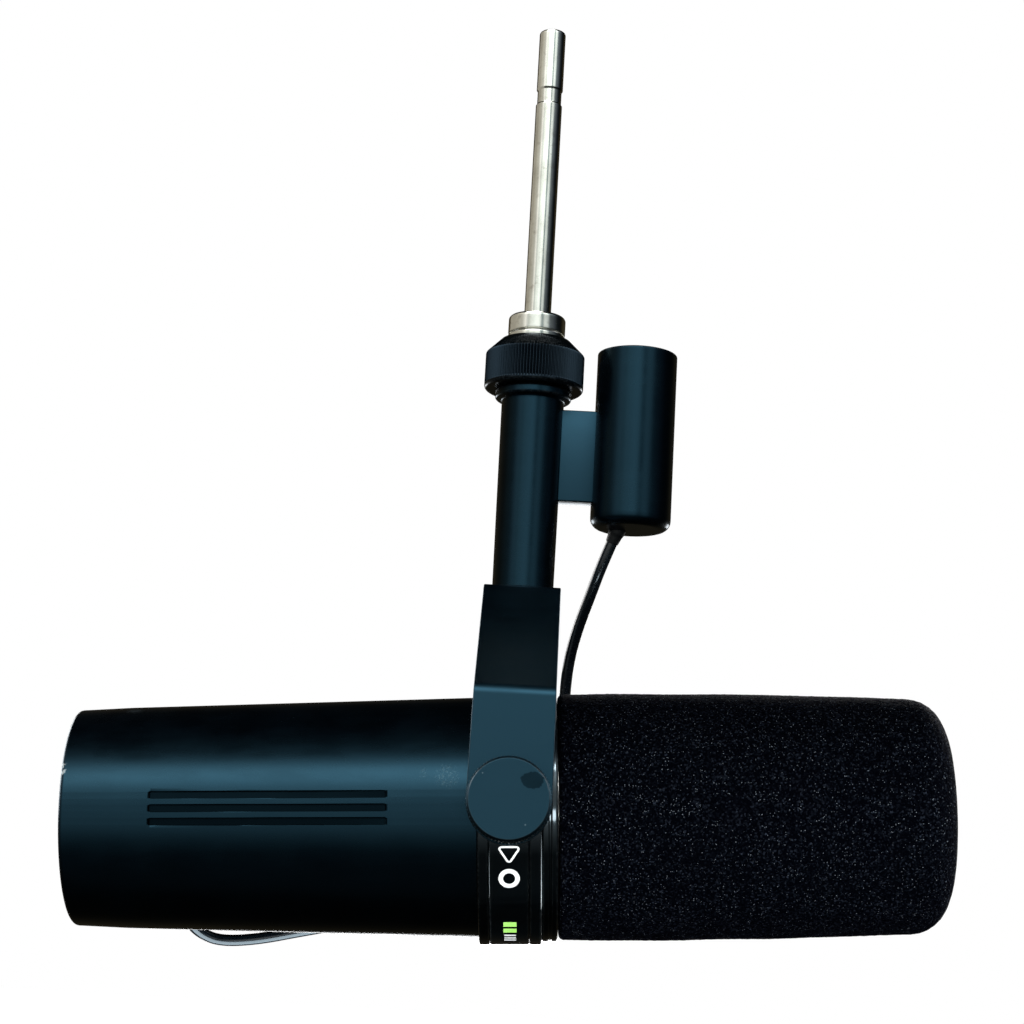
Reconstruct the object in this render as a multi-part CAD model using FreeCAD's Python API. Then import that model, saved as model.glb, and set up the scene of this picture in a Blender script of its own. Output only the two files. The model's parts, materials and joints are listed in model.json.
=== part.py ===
import FreeCAD, Part
import math
import os
from FreeCAD import Vector

# Broadcast microphone in a swivel yoke, hung from a short boom rod.
# Millimetres. Heights and lengths below are measured from the tilt axis; the finished
# parts are lowered by PIVOT_DROP, so that the origin is on the rod's axis where the bare
# rod leaves its collar. +Z runs up the rod, +X towards the foam windscreen, and the
# two tilt knobs face -Y (near) and +Y (far).
# The microphone's own pieces are drawn level, along X, and then aimed NOSE_UP degrees.

PIVOT_DROP = 118.2
NOSE_UP = 3.2

# ---- driving dimensions: rod and thread
ROD_R = 3.175                 # quarter-inch rod
ROD_SHANK_R = 3.0             # turned down where it is seated in the collar
ROD_TOP = 190.6
ROD_FOOT = 108.6
GROOVE_BOTTOM = 171.5
GROOVE_TOP = 175.6
GROOVE_R = 2.9
COLLAR_R = 6.75
COLLAR_BASE = 113.7
COLLAR_TOP = 118.0
STUD_R = 4.7                  # 3/8 in - 16 male thread
ADAPTER_R = 7.8               # 5/8 in - 27 male thread
ADAPTER_FLANGE_R = 6.8
ADAPTER_BASE = 106.4
SNUG = 0.05                   # gap between fixed pieces that fit each other

# ---- captive nut and stem
NUT_R = 11.7
NUT_BASE = 99.9
NUT_TOP = 112.0
NUT_RIDGES = 100
RIDGE_DEPTH = 0.28
STEM_FOOT_R = 7.1
STEM_HEAD_R = 7.35
STEM_BORE_R = 4.6
STEM_BASE = 51.75
STEM_SHOULDER = 97.2
STEM_NECK_R = 6.95

# ---- yoke strap
STRAP_T = 2.0
STRAP_TOP = 51.7
STRAP_TOP_HALF = 9.3          # half the flat top, along Y
STRAP_HALF_SPAN = 41.0        # outer face of each leg, along Y
STRAP_BEND = 24.0             # height where shoulder meets leg
STRAP_HALF_WIDTH = 8.8
STRAP_BEND_R = 3.2            # outside of each bend
LEG_END_R = 9.1

# ---- connector barrel
BARREL_X = 24.2
BARREL_R = 9.4
BARREL_BORE_R = 8.0
BARREL_BASE = 67.7
BARREL_TOP = 109.9
PIN_R = 1.18
PIN_CIRCLE_R = 4.0

# ---- microphone body
CASING_FRONT_R = 26.9
CASING_REAR_R = 24.15
CASING_REAR = -98.0
CASING_FRONT = -7.0
BAND_R = 28.75
FRONT_RING_R = 28.05
FOAM_R = 27.65
FOAM_TIP = 98.7
FOAM_BACK = 10.75
CAGE_R = 19.8
FOAM_BORE_R = 20.7

# ---- tilt hardware, measured out along Y from the middle
PIVOT_STUD_R = 2.95
KNOB_R = 9.0
KNOB_FACE_R = 8.5
KNOB_FACE_Y = 48.0
KNOB_RIDGES = 72

# ---- lead from the barrel to the rear casing
LEAD_R = 1.35
GLAND_STATION = -76.2         # along the microphone
GLAND_ANGLE = 48.0            # from straight down towards +Y
GLAND_TIP_R = 28.5
GROMMET_LEAN = Vector(-0.40, 0.30, -1.0)
GROMMET_ROOT = Vector(22.0, 1.9, 69.6)
GROMMET_LENGTH = 5.0
LEAD_GAP = 0.06               # between each end of the lead and the face that it meets
LEAD_ROUTE = [                # between the grommet's tip and the gland's
    (18.0, 4.9, 59.6), (15.9, 9.2, 53.4), (13.6, 15.0, 47.0), (11.9, 21.6, 40.4),
    (11.2, 28.0, 33.0), (11.5, 32.4, 24.0), (11.7, 34.3, 14.2), (10.8, 34.7, 4.2),
    (7.6, 34.6, -5.2), (1.4, 34.2, -12.8), (-7.0, 33.4, -18.0), (-16.6, 32.6, -21.2),
    (-27.2, 31.9, -23.2), (-38.0, 31.5, -25.0), (-48.6, 31.2, -27.4), (-58.8, 30.8, -29.9),
    (-67.4, 29.8, -30.8), (-72.0, 27.9, -29.3), (-74.84, 24.7, -26.45),
]

PARTS = {}


# ------------------------------------------------------------------ helpers

def rounded_wire(corners, radii, closed):
    """Straight runs joined by tangent arcs; a radius of 0 leaves the corner sharp."""
    count = len(corners)
    entries, exits, edges = [], [], []
    for i, corner in enumerate(corners):
        radius = radii[i]
        inner = closed or 0 < i < count - 1
        if radius == 0 or not inner:
            entries.append(corner)
            exits.append(corner)
            continue
        back = (corners[i - 1] - corner).normalize()
        ahead = (corners[(i + 1) % count] - corner).normalize()
        half = (math.pi - back.getAngle(ahead)) / 2
        middle = (back + ahead).normalize()
        reach = radius * math.tan(half)
        start = corner + back * reach
        end = corner + ahead * reach
        top = corner + middle * (radius / math.cos(half) - radius)
        edges.append((i, Part.Arc(start, top, end).toShape()))
        entries.append(start)
        exits.append(end)
    arcs = dict(edges)
    ordered = []
    for i in range(count):
        if i in arcs:
            ordered.append(arcs[i])
        if closed or i < count - 1:
            after = entries[(i + 1) % count]
            if exits[i].distanceToPoint(after) > 1e-6:
                ordered.append(Part.LineSegment(exits[i], after).toShape())
    return Part.Wire(ordered)


def lathe(outline, axis):
    """Turns a closed outline of (along, radius[, rounding]) about Z, X or Y."""
    place = {"z": lambda a, r: Vector(r, 0, a),
             "x": lambda a, r: Vector(a, 0, r),
             "y": lambda a, r: Vector(0, a, r)}[axis]
    line = {"z": Vector(0, 0, 1), "x": Vector(1, 0, 0), "y": Vector(0, 1, 0)}[axis]
    corners = [place(point[0], point[1]) for point in outline]
    radii = [point[2] if len(point) > 2 else 0 for point in outline]
    face = Part.Face(rounded_wire(corners, radii, True))
    solid = face.revolve(Vector(0, 0, 0), line, 360)
    return solid


def tube(axis, low, high, outer, inner=0.0, edge=0.0):
    """A plain ring or disc with its outer edges rounded."""
    return lathe([(low, inner), (low, outer, edge), (high, outer, edge), (high, inner)], axis)


def block(low, high):
    size = Vector(*high) - Vector(*low)
    return Part.makeBox(size.x, size.y, size.z, Vector(*low))


def ridged_disc(radius, depth, ridges):
    """Flat star outline of V ridges, in the XY plane."""
    points = []
    for i in range(2 * ridges):
        reach = radius if i % 2 == 0 else radius - depth
        angle = math.pi * i / ridges
        points.append(Vector(reach * math.cos(angle), reach * math.sin(angle), 0))
    points.append(points[0])
    return Part.Face(Part.makePolygon(points))


def turned(shape, axis, degrees, centre=Vector(0, 0, 0)):
    copy = shape.copy()
    copy.rotate(centre, axis, degrees)
    return copy


def moved(shape, x, y, z):
    copy = shape.copy()
    copy.translate(Vector(x, y, z))
    return copy


def hang(name, shape):
    """Stores a piece of the hanger, lowered to its place under the origin."""
    PARTS[name] = moved(shape, 0, 0, -PIVOT_DROP)


def aim(name, shape):
    """Stores a piece of the microphone, nose up about the tilt axis."""
    hang(name, turned(shape, Vector(0, 1, 0), -NOSE_UP))


def on_both_sides(name, shape, store):
    """Stores a piece drawn on the +Y side, and its twin on the -Y side."""
    store("far_" + name, shape)
    store("near_" + name, turned(shape, Vector(0, 0, 1), 180))


# ------------------------------------------------------------------ boom rod

def make_boom_rod():
    rod = lathe([
        (ROD_FOOT, 0), (ROD_FOOT, ROD_SHANK_R), (PIVOT_DROP, ROD_SHANK_R),
        (PIVOT_DROP, ROD_R), (GROOVE_BOTTOM, ROD_R, 0.2), (GROOVE_BOTTOM + 0.4, GROOVE_R),
        (GROOVE_TOP - 0.4, GROOVE_R), (GROOVE_TOP, ROD_R, 0.2), (ROD_TOP, ROD_R, 0.7),
        (ROD_TOP, 0)], "z")
    hang("boom_rod", rod)
    bore = ROD_SHANK_R + SNUG
    hang("rod_collar", lathe([
        (COLLAR_BASE, bore), (COLLAR_BASE, COLLAR_R, 0.3),
        (COLLAR_TOP, COLLAR_R, 0.9), (COLLAR_TOP, bore)], "z"))
    hang("lock_washer", tube("z", 113.35, COLLAR_BASE, 6.2, STUD_R + SNUG))
    hang("thread_stud", tube("z", ADAPTER_BASE + 0.3, COLLAR_BASE, STUD_R, bore))
    hang("thread_adapter", lathe([
        (ADAPTER_BASE, STUD_R + SNUG), (ADAPTER_BASE, ADAPTER_R, 0.3),
        (NUT_TOP - 0.2, ADAPTER_R), (NUT_TOP - 0.2, ADAPTER_FLANGE_R),
        (113.35, ADAPTER_FLANGE_R, 0.3), (113.35, STUD_R + SNUG)], "z"))


# ------------------------------------------------------------------ captive nut

def make_captive_nut():
    """Threaded above, and hooked below over the stem's neck."""
    profile = lathe([
        (NUT_BASE, 7.25), (NUT_BASE, NUT_R, 0.9), (108.5, NUT_R), (NUT_TOP, 8.2, 0.2),
        (NUT_TOP, 7.9), (106.0, 7.9), (106.0, 9.3), (102.4, 9.3), (102.4, 7.25)], "z")
    star = ridged_disc(NUT_R, RIDGE_DEPTH, NUT_RIDGES).extrude(Vector(0, 0, 14))
    plain = tube("z", NUT_BASE - 1, NUT_BASE + 0.9, NUT_R + 1)
    ridged = moved(star, 0, 0, NUT_BASE).fuse(plain)
    hang("captive_nut", profile.common(ridged))


# ------------------------------------------------------------------ yoke

def strap_outline(inset):
    """The strap's outer line, or its inner line when set in by the thickness, across YZ."""
    slope = math.atan2(STRAP_TOP - STRAP_BEND, STRAP_HALF_SPAN - STRAP_TOP_HALF)
    top = STRAP_TOP - inset
    side = STRAP_HALF_SPAN - inset
    half_top = STRAP_TOP_HALF - inset * math.tan(slope / 2)
    bend = STRAP_BEND - inset * math.tan((math.pi / 2 - slope) / 2)
    foot = -LEG_END_R - 1
    corners = [Vector(0, -side, foot), Vector(0, -side, bend), Vector(0, -half_top, top),
               Vector(0, half_top, top), Vector(0, side, bend), Vector(0, side, foot)]
    bend_radius = STRAP_BEND_R - inset
    radii = [0, bend_radius, bend_radius, bend_radius, bend_radius, 0]
    return Part.Face(rounded_wire(corners, radii, True))


def make_strap():
    width = Vector(2 * LEG_END_R, 0, 0)
    outer = moved(strap_outline(0), -LEG_END_R, 0, 0).extrude(width)
    inner = moved(strap_outline(STRAP_T), -LEG_END_R, 0, 0).extrude(width)
    w = STRAP_HALF_WIDTH
    front = [Vector(-LEG_END_R, -60, 0), Vector(-w, -60, STRAP_BEND), Vector(-w, -60, 60),
             Vector(w, -60, 60), Vector(w, -60, STRAP_BEND), Vector(LEG_END_R, -60, 0)]
    upper = Part.Face(Part.makePolygon(front + front[:1])).extrude(Vector(0, 120, 0))
    ends = tube("y", -60, 60, LEG_END_R)
    strap = outer.cut(inner).common(upper.fuse(ends))
    strap = strap.cut(tube("y", -60, 60, PIVOT_STUD_R + 0.45))
    hang("yoke_strap", strap.cut(tube("z", 45, 55, 3.1)))


def make_stem():
    head = 105.0
    hang("stem_tube", lathe([
        (STEM_BASE, 2.6), (STEM_BASE, STEM_FOOT_R, 0.4), (STEM_SHOULDER, STEM_HEAD_R, 0.5),
        (STEM_SHOULDER + 0.5, 9.0, 0.7), (99.6, 9.0, 0.4), (99.6, STEM_NECK_R),
        (head, STEM_NECK_R, 0.3), (head, STEM_BORE_R), (68.0, STEM_BORE_R), (68.0, 2.6)], "z"))
    hang("nut_retainer", tube("z", 103.0, 104.4, 8.9, STEM_NECK_R + SNUG, 0.2))
    under = STRAP_TOP - STRAP_T
    screw = lathe([
        (under - 2.5, 0), (under - 2.5, 5.2, 1.0), (under - 0.02, 5.2), (under - 0.02, 2.5),
        (66.0, 2.5, 0.5), (66.0, 0)], "z")
    socket = Part.Face(Part.makePolygon(
        [Vector(2 * math.cos(a), 2 * math.sin(a), under - 2.6)
         for a in [math.radians(60 * i) for i in range(7)]])).extrude(Vector(0, 0, 1.6))
    hang("stem_screw", screw.cut(socket))


def make_barrel():
    shell = lathe([
        (BARREL_BASE, 0), (BARREL_BASE, BARREL_R, 2.4), (BARREL_TOP, BARREL_R, 0.25),
        (BARREL_TOP, BARREL_BORE_R, 0.25), (69.4, BARREL_BORE_R), (69.4, 0)], "z")
    shell = moved(shell, BARREL_X, 0, 0)
    insert = moved(tube("z", 83.5, 93.5, BARREL_BORE_R - SNUG, 0, 0.3), BARREL_X, 0, 0)
    pins = []
    for degrees in (0, 180, 270):
        pin = tube("z", 79.5, 106.4, PIN_R, 0, 0.6)
        angle = math.radians(degrees)
        pins.append(moved(pin, BARREL_X + PIN_CIRCLE_R * math.cos(angle),
                          PIN_CIRCLE_R * math.sin(angle), 0))
    for pin in pins:
        box = pin.BoundBox
        x, y = box.Center.x, box.Center.y
        insert = insert.cut(moved(tube("z", 80, 95, PIN_R + 0.03), x, y, 0))
    set_screw = moved(tube("x", BARREL_X + 5.2, BARREL_X + 9.2, 1.0), 0, 0, 88.5)
    screw_hole = moved(tube("x", BARREL_X + 5.1, BARREL_X + 10, 1.03), 0, 0, 88.5)
    shell = shell.cut(screw_hole)
    insert = insert.cut(screw_hole)

    lean = Vector(GROMMET_LEAN).normalize()
    turn = FreeCAD.Rotation(Vector(0, 0, 1), lean)
    grommet = lathe([(0, 0), (0, 1.95, 0.2), (2.4, 1.95, 0.2), (GROMMET_LENGTH, 1.6, 0.2),
                     (GROMMET_LENGTH, 0)], "z")
    grommet.Placement = FreeCAD.Placement(GROMMET_ROOT, turn)
    hole = Part.makeCylinder(2.0, 8)
    hole.Placement = FreeCAD.Placement(GROMMET_ROOT - lean * 2, turn)
    plate = block((5.5, -2.2, 73.4), (17.5, 2.2, 95.3))
    plate = plate.cut(tube("z", 70, 100, STEM_HEAD_R + 0.02))
    plate = plate.cut(moved(tube("z", 70, 100, BARREL_R + 0.02), BARREL_X, 0, 0))

    hang("connector_barrel", shell.cut(hole))
    hang("connector_insert", insert)
    hang("contact_pins", Part.makeCompound(pins))
    hang("insert_screw", set_screw)
    hang("barrel_grommet", grommet)
    hang("bracket_plate", plate)


# ------------------------------------------------------------------ lead

def make_lead():
    """One tube of straight runs and tangent arcs, from the grommet's tip to the gland's."""
    lean = Vector(GROMMET_LEAN).normalize()
    start = GROMMET_ROOT + lean * (GROMMET_LENGTH + LEAD_GAP)
    angle = math.radians(GLAND_ANGLE)
    tilt = math.radians(NOSE_UP)
    across, down = math.sin(angle), math.cos(angle)
    outward = Vector(math.sin(tilt) * down, across, -math.cos(tilt) * down)
    root = Vector(GLAND_STATION * math.cos(tilt), 0, GLAND_STATION * math.sin(tilt))
    end = root + outward * (GLAND_TIP_R + LEAD_GAP)
    corners = [start] + [Vector(*point) for point in LEAD_ROUTE] + [end]
    radii = [0]
    for before, here, after in zip(corners, corners[1:], corners[2:]):
        back, ahead = before - here, after - here
        turn = math.pi - back.getAngle(ahead)
        radii.append(0.45 * min(back.Length, ahead.Length) / math.tan(turn / 2))
    radii.append(0)
    path = rounded_wire(corners, radii, False)
    circle = Part.Wire(Part.makeCircle(LEAD_R, start, corners[1] - start))
    lead = path.makePipeShell([circle], True, True)
    hang("signal_lead", lead)
    ideal = math.pi * LEAD_R ** 2 * path.Length
    print("lead start", start, "end", end)
    print("lead length %.1f mm, volume %.0f of %.0f mm3" % (path.Length, lead.Volume, ideal))
    print("lead radii", [round(radius, 1) for radius in radii[1:-1]])
    print("lead runs", [round((b - a).Length, 1) for a, b in zip(corners, corners[1:])])


# ------------------------------------------------------------------ tilt hardware

def make_tilt_hardware():
    """Drawn on the +Y side: stud, sleeve, washers, and the knob with its brass insert."""
    on_both_sides("pivot_stud", tube("y", 21.6, 46.4, PIVOT_STUD_R, 0, 0.3), aim)
    bore = PIVOT_STUD_R + SNUG
    sleeve = tube("y", 26.0, 38.2, 6.2, bore, 0.4).cut(tube("x", -9, 9, BAND_R + 0.02))
    on_both_sides("pivot_sleeve", sleeve, aim)
    on_both_sides("inner_washer", tube("y", 38.25, 38.9, 7.6, bore, 0.15), aim)
    on_both_sides("outer_washer", tube("y", 41.1, 41.75, 7.2, bore, 0.15), aim)
    star = ridged_disc(KNOB_R, 0.3, KNOB_RIDGES).extrude(Vector(0, 0, 10))
    star = moved(turned(star, Vector(1, 0, 0), -90), 0, 40, 0)
    knob = lathe([
        (41.9, 4.35), (41.9, KNOB_R - 0.3), (42.4, KNOB_R), (47.3, KNOB_R),
        (47.6, KNOB_FACE_R + 0.25), (KNOB_FACE_Y, KNOB_FACE_R), (KNOB_FACE_Y, 0),
        (47.0, 0), (47.0, 4.35)], "y")
    on_both_sides("knob", knob.common(star), aim)
    insert = tube("y", 42.0, 46.9, 4.3, PIVOT_STUD_R + 0.06, 0.2)
    on_both_sides("knob_insert", insert, aim)


# ------------------------------------------------------------------ microphone shell

def plate_screw_shapes():
    screws = []
    for i in range(4):
        angle = math.radians(45 + 90 * i)
        screw = lathe([(-94.65, 0), (-94.65, 1.6), (-93.9, 0.9), (-89.6, 0.9), (-89.6, 0)], "x")
        screws.append(moved(screw, 0, 20.0 * math.cos(angle), 20.0 * math.sin(angle)))
    return screws


def gland_turned(shape):
    """From upright about Z to pointing out of the casing, low on its far side."""
    tipped = turned(shape, Vector(1, 0, 0), GLAND_ANGLE - 180)
    return moved(tipped, GLAND_STATION, 0, 0)


def make_casing():
    casing = lathe([
        (CASING_FRONT, CASING_FRONT_R, 0.2), (-86.0, 24.75, 60), (CASING_REAR, CASING_REAR_R, 1.3),
        (CASING_REAR, 21.95, 0.4), (-93.0, 21.95), (-93.0, 18.6), (-88.6, 18.6),
        (-86.6, 22.6), (-14.4, 24.5), (CASING_FRONT, 24.5)], "x")
    groove_half = 25.3
    for height in (-2.9, 0.0, 2.9):
        low, high = height - 0.85, height + 0.85
        slot = block((-52.4 - groove_half, -30, low), (-52.4 + groove_half, -20, high))
        ends = [moved(tube("y", -30, -20, 0.85), -52.4 + side * groove_half, 0, height)
                for side in (-1, 1)]
        slot = slot.fuse(ends[0]).fuse(ends[1])
        core = lathe([(-90, 0), (-90, 24.2), (-14, 26.21), (-14, 0)], "x")
        casing = casing.cut(slot.cut(core))
    screws = plate_screw_shapes()
    for screw in screws:
        casing = casing.cut(screw)
    casing = casing.cut(gland_turned(tube("z", 15, 30, 3.25)))
    aim("rear_casing", casing)
    gland = lathe([(20.8, 0), (20.8, 3.2, 0.4), (25.5, 3.2, 0.5),
                   (GLAND_TIP_R, 1.9, 0.3), (GLAND_TIP_R, 0)], "z")
    aim("lead_gland", gland_turned(gland))
    aim("plate_screws", Part.makeCompound(screws))


def make_rings():
    band_bore = 27.45
    stud_holes = tube("y", -60, 60, PIVOT_STUD_R + SNUG)
    chassis = lathe([
        (-14.2, 21.0), (-14.2, 24.45, 0.3), (-6.95, 24.45), (-6.95, 27.4), (6.95, 27.4),
        (6.95, 21.0)], "x")
    label = tube("x", -4.5, 4.2, BAND_R - 0.03, band_bore, 0.25)
    aim("chassis_ring", chassis.cut(stud_holes))
    aim("label_band", label.cut(stud_holes))
    aim("casing_flange", tube("x", -6.95, -4.55, BAND_R, band_bore, 0.35))
    aim("trim_ring", tube("x", 4.25, 6.95, BAND_R, band_bore, 0.35))
    aim("front_ring", tube("x", 7.0, 10.5, FRONT_RING_R, CAGE_R + SNUG, 0.5))


# ------------------------------------------------------------------ rear switch panel

SWITCH_PLACES = {"bass_switch": (7.0, 4.8), "presence_switch": (-7.0, 4.8),
                 "bypass_switch": (7.0, -4.8), "gain_switch": (-7.0, -4.8)}
SWITCH_TRAVEL = 2.0


def make_switch_panel():
    plate = tube("x", -94.6, -93.0, 21.9, 0, 0.2)
    housings = []
    for name, (y, z) in SWITCH_PLACES.items():
        toggle = block((-95.3, y - 2.5, z - 1.1), (-92.9, y + 0.5, z + 1.1))
        slot = block((-96.0, y - 2.75, z - 1.35), (-92.0, y + 2.75, z + 1.35))
        plate = plate.cut(slot)
        housings.append(block((-92.8, y - 4.5, z - 2.7), (-87.8, y + 4.5, z + 2.7)))
        aim(name, toggle)
    for screw in plate_screw_shapes():
        plate = plate.cut(screw)
    aim("switch_plate", plate)
    aim("switch_housings", Part.makeCompound(housings))
    aim("switch_board", tube("x", -87.75, -86.2, 18.0, 2.5))


def make_electronics():
    """Preamp board on two rails, with its parts standing on it."""
    level = -6.0
    board = block((-80, -17, level - 0.8), (-18, 17, level + 0.8))
    for x in (-76, -22):
        for y in (-13.5, 13.5):
            board = board.cut(moved(tube("z", level - 2, level + 2, 1.3), x, y, 0))
    rails = [block((-78, y - 1.6, level - 4.4), (-20, y + 1.6, level - 0.85))
             for y in (-13.5, 13.5)]
    pieces = [block((-50, -9, level + 0.85), (-34, 9, level + 13.0)),
              block((-76, -8, level + 0.85), (-68, 8, level + 5.0))]
    for x, y in ((-62, -7), (-62, 7), (-28, -7), (-28, 7)):
        pieces.append(moved(tube("z", level + 0.85, level + 10, 3.2, 0, 0.4), x, y, 0))
    aim("preamp_board", board)
    aim("board_rails", Part.makeCompound(rails))
    aim("board_parts", Part.makeCompound(pieces))


# ------------------------------------------------------------------ front end

def make_cage():
    """Open metal cage under the foam: rows of windows round a cup."""
    cage = lathe([
        (7.05, CAGE_R - 0.9), (7.05, CAGE_R), (91.5, CAGE_R, 4.0), (91.5, 0), (90.6, 0),
        (90.6, CAGE_R - 0.9, 3.1)], "x")
    windows = []
    for row in range(5):
        low = 13.5 + 14.6 * row
        for i in range(5):
            window = block((low, -4.2, -30), (low + 12.2, 4.2, 30))
            windows.append(turned(window, Vector(1, 0, 0), 18 + 36 * i))
    for i in range(6):
        hole = moved(tube("x", 85, 95, 3.6), 0, 10.5, 0)
        windows.append(turned(hole, Vector(1, 0, 0), 60 * i))
    windows.append(tube("x", 85, 95, 4.4))
    aim("grille_cage", cage.cut(windows))
    aim("cage_gauze", lathe([
        (11.0, 18.5), (11.0, 18.8), (90.4, 18.8, 3.0), (90.4, 0), (90.1, 0),
        (90.1, 18.5, 2.7)], "x"))


def make_capsule():
    aim("air_chamber", lathe([
        (-16.0, 0), (-16.0, 14.0, 1.5), (48.0, 14.0), (48.0, 13.0), (-15.0, 13.0), (-15.0, 0)],
        "x"))
    aim("hum_coil", tube("x", 30.0, 38.0, 17.0, 14.1, 0.5))
    rings = [tube("x", low, low + 3.0, 18.3, 15.55, 0.8) for low in (52.0, 68.0)]
    aim("shock_rings", Part.makeCompound(rings))
    aim("capsule_housing", lathe([
        (48.1, 0), (48.1, 15.5, 0.6), (75.0, 15.5, 0.3), (75.0, 14.3), (49.3, 14.3), (49.3, 0)],
        "x"))
    aim("magnet_cup", lathe([
        (49.4, 0), (49.4, 13.6, 0.5), (62.6, 13.6), (62.6, 10.4), (60.2, 10.4), (60.2, 12.2),
        (51.4, 12.2), (51.4, 0)], "x"))
    aim("magnet", tube("x", 51.4, 60.0, 8.4))
    aim("pole_piece", tube("x", 60.0, 62.6, 9.1, 0, 0.2))
    aim("voice_coil", tube("x", 60.2, 66.3, 9.95, 9.45))
    aim("diaphragm", lathe([
        (66.35, 9.0), (66.35, 14.2), (66.65, 14.2), (66.65, 9.2), (69.3, 4.5, 8.0),
        (69.9, 0), (69.6, 0), (69.0, 4.4, 8.0)], "x"))
    cap = tube("x", 72.0, 73.6, 14.25, 0, 0.2)
    for i in range(8):
        hole = moved(tube("x", 70, 76, 2.0), 0, 9.5, 0)
        cap = cap.cut(turned(hole, Vector(1, 0, 0), 45 * i))
    aim("resonator_cap", cap.cut(tube("x", 70, 76, 2.4)))


def make_windscreen():
    aim("foam_windscreen", lathe([
        (FOAM_BACK, FOAM_BORE_R), (FOAM_BACK, FOAM_R, 1.0), (58.0, 27.35, 200),
        (97.5, 26.2, 14.0), (FOAM_TIP, 10.0, 10.0), (FOAM_TIP, 0), (93.6, 0),
        (93.6, FOAM_BORE_R, 6.0)], "x"))


# ------------------------------------------------------------------ build

make_boom_rod()
make_captive_nut()
make_strap()
make_stem()
make_barrel()
make_lead()
make_tilt_hardware()
make_casing()
make_rings()
make_switch_panel()
make_electronics()
make_cage()
make_capsule()
make_windscreen()

os.makedirs("parts", exist_ok=True)
for node, shape in PARTS.items():
    shape.exportStep("parts/%s.step" % node)
    sound = shape.isValid() and all(solid.isClosed() for solid in shape.Solids)
    print("%-18s solids %2d  volume %9.1f  %s" % (
        node, len(shape.Solids), shape.Volume, "ok" if sound else "FAULT"))
print(len(PARTS), "nodes")
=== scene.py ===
import bmesh
import bpy
import json
import math
from mathutils import Matrix, Vector, noise


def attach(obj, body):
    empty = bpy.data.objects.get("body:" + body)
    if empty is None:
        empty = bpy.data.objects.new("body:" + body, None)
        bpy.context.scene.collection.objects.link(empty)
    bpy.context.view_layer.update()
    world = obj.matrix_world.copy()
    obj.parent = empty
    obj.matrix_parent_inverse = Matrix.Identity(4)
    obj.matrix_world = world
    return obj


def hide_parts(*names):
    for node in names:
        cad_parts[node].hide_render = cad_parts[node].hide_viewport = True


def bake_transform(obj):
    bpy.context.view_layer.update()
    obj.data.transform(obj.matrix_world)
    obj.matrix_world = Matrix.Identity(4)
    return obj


# Broadcast microphone in a swivel yoke, hung from a short boom rod.
# Pieces are drawn in millimetres from the tilt axis. Pieces of the hanger stand along Z;
# pieces of the microphone lie along X and are then aimed nose up.

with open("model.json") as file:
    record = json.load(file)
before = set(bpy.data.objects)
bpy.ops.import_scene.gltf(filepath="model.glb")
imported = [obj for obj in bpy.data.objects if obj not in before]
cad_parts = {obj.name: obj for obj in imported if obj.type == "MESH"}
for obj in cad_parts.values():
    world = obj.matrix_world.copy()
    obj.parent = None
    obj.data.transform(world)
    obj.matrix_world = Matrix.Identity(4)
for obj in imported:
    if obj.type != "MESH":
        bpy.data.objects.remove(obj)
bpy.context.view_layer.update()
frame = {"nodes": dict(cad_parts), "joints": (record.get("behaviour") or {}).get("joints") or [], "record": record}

MM = 0.001
JOINTS = {joint["name"]: joint for joint in frame["joints"]}
PIVOT = Vector(JOINTS["tilt"]["pos_m"])
NOSE = Vector(JOINTS["windscreen_slide"]["axis"])
HANGER = Matrix.Translation(PIVOT)
MICROPHONE = HANGER @ Matrix.Rotation(-math.atan2(NOSE.z, NOSE.x), 4, "Y")
EDGE = 0.14                   # rounding of a corner that names none
KNOB_FACE = 48.0              # distance of each knob's face from the centre plane
WEAR_REACH = 0.35             # how far the rubbed paint runs in from a rounded edge


# ------------------------------------------------------------------ camera

CAMERA_PLACE = Vector((5.65, -516.06, -39.38))      # millimetres from the tilt axis
CAMERA_YAW = math.radians(-1.012)
CAMERA_PITCH = math.radians(12.027)
CAMERA_ROLL = math.radians(3.196)
SENSOR_WIDTH = 36.0
LENS = 79.46


def make_camera():
    data = bpy.data.cameras.new("camera")
    data.sensor_width = SENSOR_WIDTH
    data.lens = LENS
    data.clip_start = 0.01
    data.clip_end = 100.0
    level = math.cos(CAMERA_PITCH)
    ahead = Vector((math.sin(CAMERA_YAW) * level, math.cos(CAMERA_YAW) * level,
                    math.sin(CAMERA_PITCH)))
    flat_right = Vector((math.cos(CAMERA_YAW), -math.sin(CAMERA_YAW), 0))
    flat_up = flat_right.cross(ahead)
    right = flat_right * math.cos(CAMERA_ROLL) + flat_up * math.sin(CAMERA_ROLL)
    up = flat_up * math.cos(CAMERA_ROLL) - flat_right * math.sin(CAMERA_ROLL)
    camera = bpy.data.objects.new("camera", data)
    axes = Matrix((right, up, -ahead)).transposed().to_4x4()
    camera.matrix_world = Matrix.Translation(PIVOT + CAMERA_PLACE * MM) @ axes
    bpy.context.scene.collection.objects.link(camera)
    bpy.context.scene.camera = camera


# ------------------------------------------------------------------ finishes

def add_node(tree, kind, inputs, output=0, **settings):
    """Adds a shader node. Each input is a socket to link or a value to set."""
    node = tree.nodes.new("ShaderNode" + kind)
    for key, value in settings.items():
        setattr(node, key, value)
    for key, value in inputs.items():
        if isinstance(value, bpy.types.NodeSocket):
            tree.links.new(value, node.inputs[key])
        else:
            node.inputs[key].default_value = value
    return node.outputs[output]


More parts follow.
